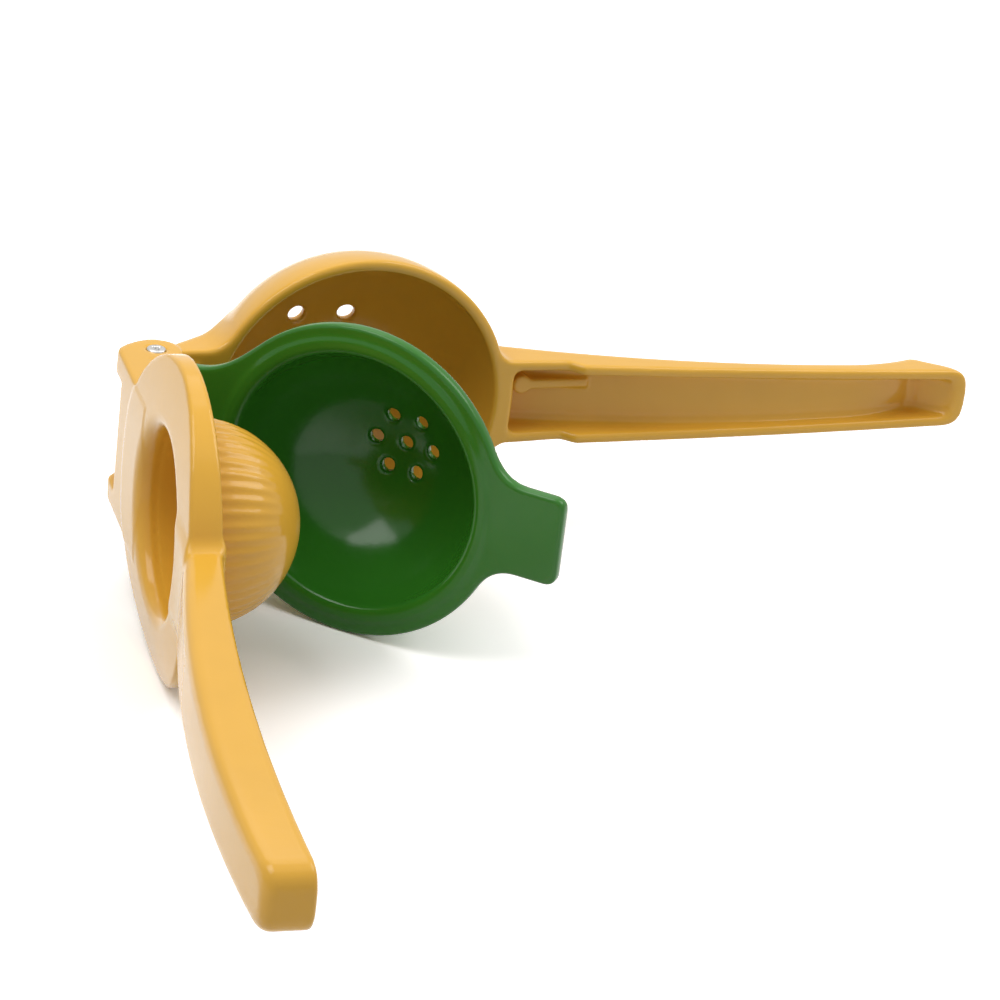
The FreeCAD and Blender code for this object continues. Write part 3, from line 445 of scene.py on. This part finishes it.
def skin_of(form, low, high, cell):
    """The surface where form(x, y, z) is nought.

    A grid of cells covers the box. Each cell that the surface passes through gets one point, the mean
    of the places where its edges cross the surface, and each crossed edge gets the quad of the four
    cells round it. The points are then moved along the form's slope until they lie on the surface."""
    parts = 8
    counts = [int(math.ceil((b - a) / cell)) + 1 for a, b in zip(low, high)]
    ticks = [(a + np.arange(n) * cell).astype(np.float32) for a, n in zip(low, counts)]
    values = np.concatenate([
        form(*np.meshgrid(part, ticks[1], ticks[2], indexing="ij"))
        for part in np.array_split(ticks[0], parts)]).astype(np.float32)
    cells = [n - 1 for n in counts]
    total = np.zeros(cells + [3], np.float32)
    tally = np.zeros(cells, np.float32)
    quads = []
    for axis in range(3):
        places, share, rising = crossing_points(values, axis)
        others = [a for a in range(3) if a != axis]
        inside = np.all([(places[:, a] > 0) & (places[:, a] < counts[a] - 1) for a in others], axis=0)
        places, share, rising = places[inside], share[inside], rising[inside]
        points = places.astype(np.float32)
        points[:, axis] += share
        corners = []
        for back in ((1, 1), (0, 1), (0, 0), (1, 0)):
            home = places.copy()
            home[:, others[0]] -= back[0]
            home[:, others[1]] -= back[1]
            index = np.ravel_multi_index(home.T, cells)
            np.add.at(total.reshape(-1, 3), index, points)
            np.add.at(tally.reshape(-1), index, 1)
            corners.append(index)
        quad = np.stack(corners, 1)
        flip = rising if axis != 1 else ~rising
        quad[~flip] = quad[~flip][:, ::-1]
        quads.append(quad)
    quads = np.concatenate(quads)
    used, faces = np.unique(quads, return_inverse=True)
    faces = faces.reshape(quads.shape)
    points = total.reshape(-1, 3)[used] / tally.reshape(-1)[used, None]
    points = points.astype(np.float64) * cell + np.array(low)
    return settle(form, points, cell), faces


def slope_of(form, points, step=0.02):
    """The form's slope at each point, from its values a small step to each side."""
    slope = np.empty_like(points)
    for axis in range(3):
        side = np.zeros(3)
        side[axis] = step
        ahead, behind = points + side, points - side
        slope[:, axis] = (form(*ahead.T) - form(*behind.T)) / (2 * step)
    return slope


def settle(form, points, cell):
    """Moves points along the slope to where the form is nought, never far from where they began."""
    rounds, furthest, least_steep, least_length = 3, 0.6 * cell, 0.05, 1e-9
    start = points.copy()
    for _ in range(rounds):
        slope = slope_of(form, points)
        steep = np.maximum((slope * slope).sum(1), least_steep)
        points = points - slope * (form(*points.T) / steep)[:, None]
        away = points - start
        length = np.linalg.norm(away, axis=1, keepdims=True)
        points = start + away * np.minimum(1, furthest / np.maximum(length, least_length))
    return points


def placed(points, turn):
    """From a lever's own frame in millimetres to the row's frame in metres, opened by turn degrees."""
    a = math.radians(turn)
    x = points[:, 0] * math.cos(a) + points[:, 1] * math.sin(a)
    y = -points[:, 0] * math.sin(a) + points[:, 1] * math.cos(a)
    return np.stack([x, y, points[:, 2]], 1) * MM + HINGE


def add_mesh(name, points, faces, material):
    """A smooth-shaded mesh object of the given points and lists of corners, which rides nothing yet."""
    mesh = bpy.data.meshes.new(name)
    mesh.from_pydata(points.tolist(), [], faces)
    mesh.materials.append(material)
    mesh.polygons.foreach_set("use_smooth", np.ones(len(mesh.polygons), bool))
    mesh.update()
    piece = bpy.data.objects.new(name, mesh)
    bpy.context.scene.collection.objects.link(piece)
    return piece


def add_casting(name, node, form, low, high, turn, finish):
    """Makes a casting's surface, places it and lets it stand for its CAD node."""
    points, faces = skin_of(form, low, high, sizes().grain)
    piece = add_mesh(name, placed(points, turn), faces.tolist(), bpy.data.materials[finish])
    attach(piece, frame["nodes"][node]["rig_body"])
    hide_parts(node)
    return piece


def new_material(name):
    """An empty node material and its output's shader."""
    material = bpy.data.materials.new(name)
    material.use_nodes = True
    shader = material.node_tree.nodes["Principled BSDF"]
    return material, material.node_tree, shader


def noise(tree, scale, detail):
    """A cloud of values from 0 to 1 on the piece's own coordinates, in metres."""
    place = tree.nodes.new("ShaderNodeTexCoord")
    cloud = tree.nodes.new("ShaderNodeTexNoise")
    cloud.inputs["Scale"].default_value = scale
    cloud.inputs["Detail"].default_value = detail
    tree.links.new(place.outputs["Object"], cloud.inputs["Vector"])
    return cloud.outputs["Fac"]


def remap(tree, value, low, high):
    """A value from 0 to 1 carried over to low to high."""
    span = tree.nodes.new("ShaderNodeMapRange")
    span.inputs["To Min"].default_value = low
    span.inputs["To Max"].default_value = high
    tree.links.new(value, span.inputs["Value"])
    return span.outputs["Result"]


def ramp(tree, value, colour, shade, start, end):
    """The colour shaded where the value is under start, plain where it is over end."""
    blend = tree.nodes.new("ShaderNodeValToRGB")
    first, last = blend.color_ramp.elements
    first.position, last.position = start, end
    first.color = (*[c * shade for c in colour], 1)
    last.color = (*colour, 1)
    tree.links.new(value, blend.inputs["Fac"])
    return blend.outputs["Color"]


def enamel(name, colour, shade):
    """Gloss enamel: a colour that thins and gathers a little, and orange peel in the gloss."""
    drift_scale, haze_scale, peel_scale = 38.0, 160.0, 420.0
    material, tree, shader = new_material(name)
    tone = ramp(tree, noise(tree, drift_scale, 3.0), colour, shade, start=0.3, end=0.7)
    tree.links.new(tone, shader.inputs["Base Color"])
    gloss = remap(tree, noise(tree, haze_scale, 2.0), low=0.12, high=0.18)
    tree.links.new(gloss, shader.inputs["Roughness"])
    bump = tree.nodes.new("ShaderNodeBump")
    bump.inputs["Strength"].default_value = 0.05
    bump.inputs["Distance"].default_value = 0.0004
    tree.links.new(noise(tree, peel_scale, 2.0), bump.inputs["Height"])
    tree.links.new(bump.outputs["Normal"], shader.inputs["Normal"])
    shader.inputs["Specular IOR Level"].default_value = 0.3
    return material


def pin_metal():
    """Bright rolled steel with a fine turned grain."""
    grain_scale = 900.0
    material, tree, shader = new_material("rolled_steel")
    shader.inputs["Metallic"].default_value = 1.0
    grain = noise(tree, grain_scale, 3.0)
    tone = ramp(tree, grain, list(colours().steel), 0.82, start=0.0, end=1.0)
    tree.links.new(tone, shader.inputs["Base Color"])
    tree.links.new(remap(tree, grain, low=0.2, high=0.38), shader.inputs["Roughness"])
    return material


def pin_surface():
    """Points and faces of the pin: one end's recessed face, the rolled edge, the shank, the other end.

    A profile of (radius, height) runs from one end's middle to the other's and is carried round the
    axis; near the ends the height dips inside the three lobes of the recess."""
    radius, half, roll, middle = 2.3, 19.55, 0.5, 0.02
    lobe_ring, lobe_full, lobe_edge, lobe_depth = 0.62, 0.42, 0.62, 0.8
    flat_steps, roll_steps, shank_steps, around = 16, 7, 8, 72
    flat = np.linspace(middle, radius - roll, flat_steps)
    round_turn = np.linspace(0, math.pi / 2, roll_steps)[1:]
    edge_r = radius - roll + roll * np.sin(round_turn)
    edge_h = half - roll + roll * np.cos(round_turn)
    out = np.concatenate([flat, edge_r])
    up = np.concatenate([np.full(flat.shape, half), edge_h])
    shank = np.linspace(half - roll, -(half - roll), shank_steps)[1:-1]
    radii = np.concatenate([out, np.full(shank.shape, radius), out[::-1]])
    heights = np.concatenate([up, shank, -up[::-1]])
    turns = np.linspace(0, 2 * math.pi, around + 1)[:-1]
    r, t = np.meshgrid(radii, turns, indexing="ij")
    h = np.repeat(heights[:, None], around, 1)
    x, y = r * np.cos(t), r * np.sin(t)
    lobes = np.min([np.hypot(x - lobe_ring * math.cos(a), y - lobe_ring * math.sin(a))
                    for a in np.arange(3) * 2 * math.pi / 3], axis=0)
    dip = lobe_depth * (1 - smooth_step(lobes, lobe_full, lobe_edge))
    on_end = r < radius - roll + 1e-6
    h = h - np.sign(h) * dip * on_end
    points = np.stack([x, y, h], -1).reshape(-1, 3)
    rows = len(radii)
    i, j = np.meshgrid(np.arange(rows - 1), np.arange(around), indexing="ij")
    k = (j + 1) % around
    faces = np.stack([i * around + j, (i + 1) * around + j, (i + 1) * around + k, i * around + k], -1)
    first = list(range(around))
    last = [(rows - 1) * around + n for n in range(around)]
    return points, faces.reshape(-1, 4).tolist() + [first, last[::-1]]


def look_from(offset_mm, yaw, pitch, roll):
    """A camera matrix from its place and its turns: yaw from +Y, pitch from level, roll about its view."""
    flat = math.cos(pitch)
    ahead = Vector((math.sin(yaw) * flat, math.cos(yaw) * flat, math.sin(pitch)))
    right = Vector((math.cos(yaw), -math.sin(yaw), 0))
    up = right.cross(ahead)
    right_turned = right * math.cos(roll) + up * math.sin(roll)
    up_turned = up * math.cos(roll) - right * math.sin(roll)
    place = Vector(HINGE) + Vector(offset_mm) * MM
    columns = Matrix((right_turned, up_turned, -ahead)).transposed().to_4x4()
    return Matrix.Translation(place) @ columns


def add_lamp(name, aim, azimuth, elevation, distance, size, power):
    """A rectangular soft lamp that looks at a point from a direction, in degrees."""
    lamp = bpy.data.lights.new(name, "AREA")
    lamp.shape = "RECTANGLE"
    lamp.size, lamp.size_y = size
    lamp.energy = power
    a, e = math.radians(azimuth), math.radians(elevation)
    away = Vector((math.cos(a) * math.cos(e), math.sin(a) * math.cos(e), math.sin(e)))
    holder = bpy.data.objects.new(name, lamp)
    holder.location = Vector(aim) + away * distance
    holder.rotation_euler = (-away).to_track_quat("-Z", "Y").to_euler()
    bpy.context.scene.collection.objects.link(holder)


def seen_directly(tree):
    """A value of 1 for rays from the camera, mirror reflections and rays through glass, else 0."""
    path = tree.nodes.new("ShaderNodeLightPath")
    result = path.outputs["Is Camera Ray"]
    for kind in ("Is Glossy Ray", "Is Transmission Ray"):
        either = tree.nodes.new("ShaderNodeMath")
        either.operation = "MAXIMUM"
        tree.links.new(result, either.inputs[0])
        tree.links.new(path.outputs[kind], either.inputs[1])
        result = either.outputs[0]
    return result


def two_ways(tree, lit, shown):
    """A value that is lit for the light on the object and shown for what the eye meets directly."""
    return remap(tree, seen_directly(tree), lit, shown)


def floor_paper():
    """Matt white paper with a faint cloud in it, which shows whiter than it lights."""
    cloud_scale = 3.0
    material, tree, shader = new_material("floor_paper")
    tone = remap(tree, noise(tree, cloud_scale, 2.0), low=0.98, high=1.0)
    level = tree.nodes.new("ShaderNodeMath")
    level.operation = "MULTIPLY"
    tree.links.new(two_ways(tree, FLOOR_LIT, FLOOR_SHOWN), level.inputs[0])
    tree.links.new(tone, level.inputs[1])
    paper = tree.nodes.new("ShaderNodeVectorMath")
    paper.operation = "SCALE"
    paper.inputs[0].default_value = colours().paper
    tree.links.new(level.outputs[0], paper.inputs["Scale"])
    tree.links.new(paper.outputs[0], shader.inputs["Base Color"])
    shader.inputs["Roughness"].default_value = 0.9
    shader.inputs["Specular IOR Level"].default_value = 0.0
    return material


class SQUEEZER_OT_stage(bpy.types.Operator):
    """Adds the floor, the lamps, the world and the camera"""

    bl_idname = "squeezer.stage"
    bl_label = "Stage"

    def execute(self, context):
        scene = context.scene
        scene.view_settings.view_transform = "Standard"
        camera = bpy.data.cameras.new("camera")
        camera.sensor_width = SENSOR_MM
        camera.lens = CAMERA_LENS_PER_FRAME * SENSOR_MM
        camera.clip_end = SEEN_TO_METRES
        holder = bpy.data.objects.new("camera", camera)
        holder.matrix_world = look_from(CAMERA_FROM_PIN, CAMERA_YAW, CAMERA_PITCH, CAMERA_ROLL)
        scene.collection.objects.link(holder)
        scene.camera = holder

        corners = np.array([(-1, -1, 0), (1, -1, 0), (1, 1, 0), (-1, 1, 0)]) * FLOOR_SIDE_METRES / 2
        floor = add_mesh("floor", corners, [[0, 1, 2, 3]], floor_paper())

        world = bpy.data.worlds.new("studio")
        world.use_nodes = True
        scene.world = world
        tree = world.node_tree
        light = tree.nodes["Background"]
        light.inputs["Color"].default_value = (1, 1, 1, 1)
        tree.links.new(two_ways(tree, WORLD_LIT, WORLD_SHOWN), light.inputs["Strength"])

        aim = tuple(HINGE + np.array(AIM_FROM_PIN) * MM)
        for name, *settings in LAMPS:
            add_lamp(name, aim, *settings)
        return {"FINISHED"}


class SQUEEZER_OT_bowl_lever(bpy.types.Operator):
    """Adds the bowl lever with its handle and knuckles"""

    bl_idname = "squeezer.bowl_lever"
    bl_label = "Bowl Lever"

    def execute(self, context):
        add_casting("bowl_lever_casting", "bowl_lever", bowl_lever_form, (-8, -8, -40), (218, 45, 40),
                    0.0, "glossy_yellow")
        return {"FINISHED"}


class SQUEEZER_OT_lime_cup(bpy.types.Operator):
    """Adds the cup lever with its flange, tab and knuckle"""

    bl_idname = "squeezer.lime_cup"
    bl_label = "Lime Cup"

    def execute(self, context):
        add_casting("lime_cup_casting", "lime_cup", lime_cup_form, (-8, -8, -40), (109, 35, 40),
                    CUP_TURN, "glossy_green")
        return {"FINISHED"}


class SQUEEZER_OT_press_lever(bpy.types.Operator):
    """Adds the press lever with its ears, plate, fluted dome and handle"""

    bl_idname = "squeezer.press_lever"
    bl_label = "Press Lever"

    def execute(self, context):
        add_casting("press_lever_casting", "press_lever", press_lever_form, (-8, -24, -39), (220, 25, 39),
                    PRESS_TURN, "glossy_yellow")
        return {"FINISHED"}


class SQUEEZER_OT_hinge_pin(bpy.types.Operator):
    """Adds the rolled steel pin"""

    bl_idname = "squeezer.hinge_pin"
    bl_label = "Hinge Pin"

    def execute(self, context):
        points, faces = pin_surface()
        piece = add_mesh("hinge_pin_steel", placed(points, PRESS_TURN), faces,
                         bpy.data.materials["rolled_steel"])
        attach(piece, frame["nodes"]["hinge_pin"]["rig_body"])
        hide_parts("hinge_pin")
        return {"FINISHED"}


class SQUEEZER_OT_finishes(bpy.types.Operator):
    """Makes the enamels and the pin's steel"""

    bl_idname = "squeezer.finishes"
    bl_label = "Finishes"

    def execute(self, context):
        enamel("glossy_yellow", list(colours().yellow), shade=0.93)
        enamel("glossy_green", list(colours().green), shade=0.88)
        pin_metal()
        return {"FINISHED"}


class SQUEEZER_PT_panel(bpy.types.Panel):
    """Lists the steps that build the squeezer"""

    bl_label = "Squeezer"
    bl_idname = "SQUEEZER_PT_panel"
    bl_space_type = "VIEW_3D"
    bl_region_type = "UI"
    bl_category = "Squeezer"

    def draw(self, context):
        column = self.layout.column()
        for step in STEPS:
            column.operator("squeezer." + step)
        for group in (context.scene.squeezer_sizes, context.scene.squeezer_colours):
            for name in group.bl_rna.properties.keys():
                if name not in ("rna_type", "name"):
                    column.prop(group, name)


STEPS = ("finishes", "bowl_lever", "lime_cup", "press_lever", "hinge_pin", "stage")
CLASSES = (SqueezerSizes, SqueezerColours, SQUEEZER_OT_finishes, SQUEEZER_OT_bowl_lever,
           SQUEEZER_OT_lime_cup, SQUEEZER_OT_press_lever, SQUEEZER_OT_hinge_pin, SQUEEZER_OT_stage,
           SQUEEZER_PT_panel)


def register():
    """Registers the classes and hangs the two groups of settings on the scene."""
    for item in CLASSES:
        bpy.utils.register_class(item)
    bpy.types.Scene.squeezer_sizes = PointerProperty(type=SqueezerSizes)
    bpy.types.Scene.squeezer_colours = PointerProperty(type=SqueezerColours)


def unregister():
    """Takes the settings and the classes away again."""
    del bpy.types.Scene.squeezer_colours
    del bpy.types.Scene.squeezer_sizes
    for item in reversed(CLASSES):
        bpy.utils.unregister_class(item)


def main():
    """Builds everything in order."""
    register()
    for step in STEPS:
        getattr(bpy.ops.squeezer, step)()


if __name__ == "__main__":
    main()
